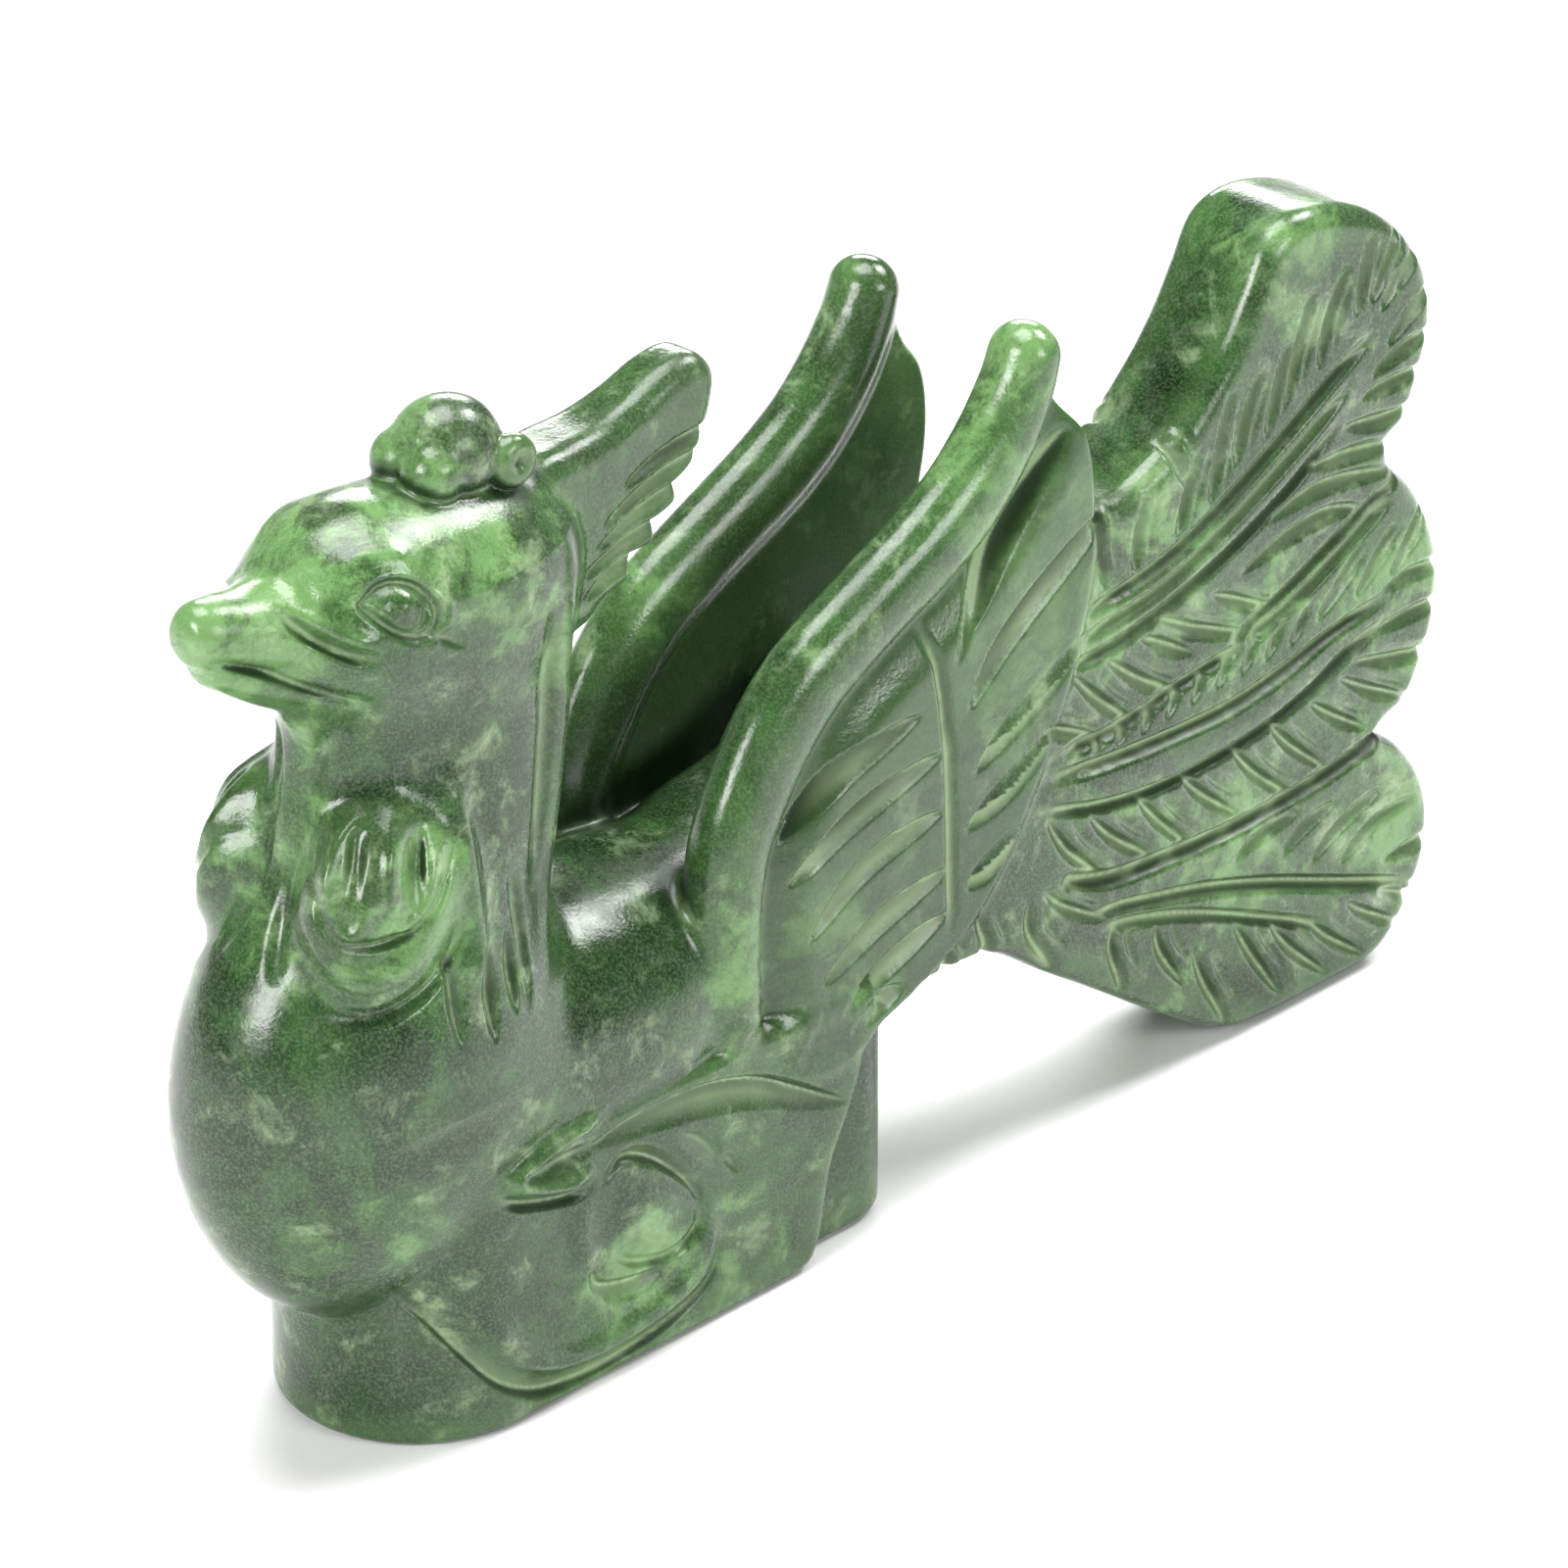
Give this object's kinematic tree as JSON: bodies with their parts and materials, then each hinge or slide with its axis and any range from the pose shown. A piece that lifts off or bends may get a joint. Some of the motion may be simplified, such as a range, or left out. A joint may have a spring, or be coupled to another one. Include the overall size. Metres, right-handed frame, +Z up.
{
  "type": "carved figurine",
  "caption": "Carved green stone bird with raised wings, a crest and a fanned tail, on a low cloud-shaped foot; a free-standing ornament.",
  "frame": {"origin": "centre of the cloud plinth's flat underside, on the surface that the figurine stands on", "axes": "+X from the bird's head to its tail, +Y to the bird's right side, +Z up"},
  "size_m": [0.1374, 0.0254, 0.088],
  "materials": {
    "jade": "polished mottled green jade"
  },
  "bodies": {
    "root": {"beak_lower": "jade", "beak_upper": "jade", "breast": "jade", "cloud_plinth": "jade", "cloud_scroll_left": "jade", "cloud_scroll_right": "jade", "crest_curl_left": "jade", "crest_curl_right": "jade", "crest_knob": "jade", "crest_plume": "jade", "eye_left": "jade", "eye_right": "jade", "head": "jade", "neck": "jade", "plinth_rear_cloud": "jade", "tail_feather_bottom": "jade", "tail_feather_middle": "jade", "tail_feather_top": "jade", "tail_root": "jade", "torso": "jade", "wattle_left": "jade", "wattle_right": "jade", "wing_edge_left": "jade", "wing_edge_right": "jade", "wing_panel_left": "jade", "wing_panel_right": "jade"}
  },
  "joints": []
}
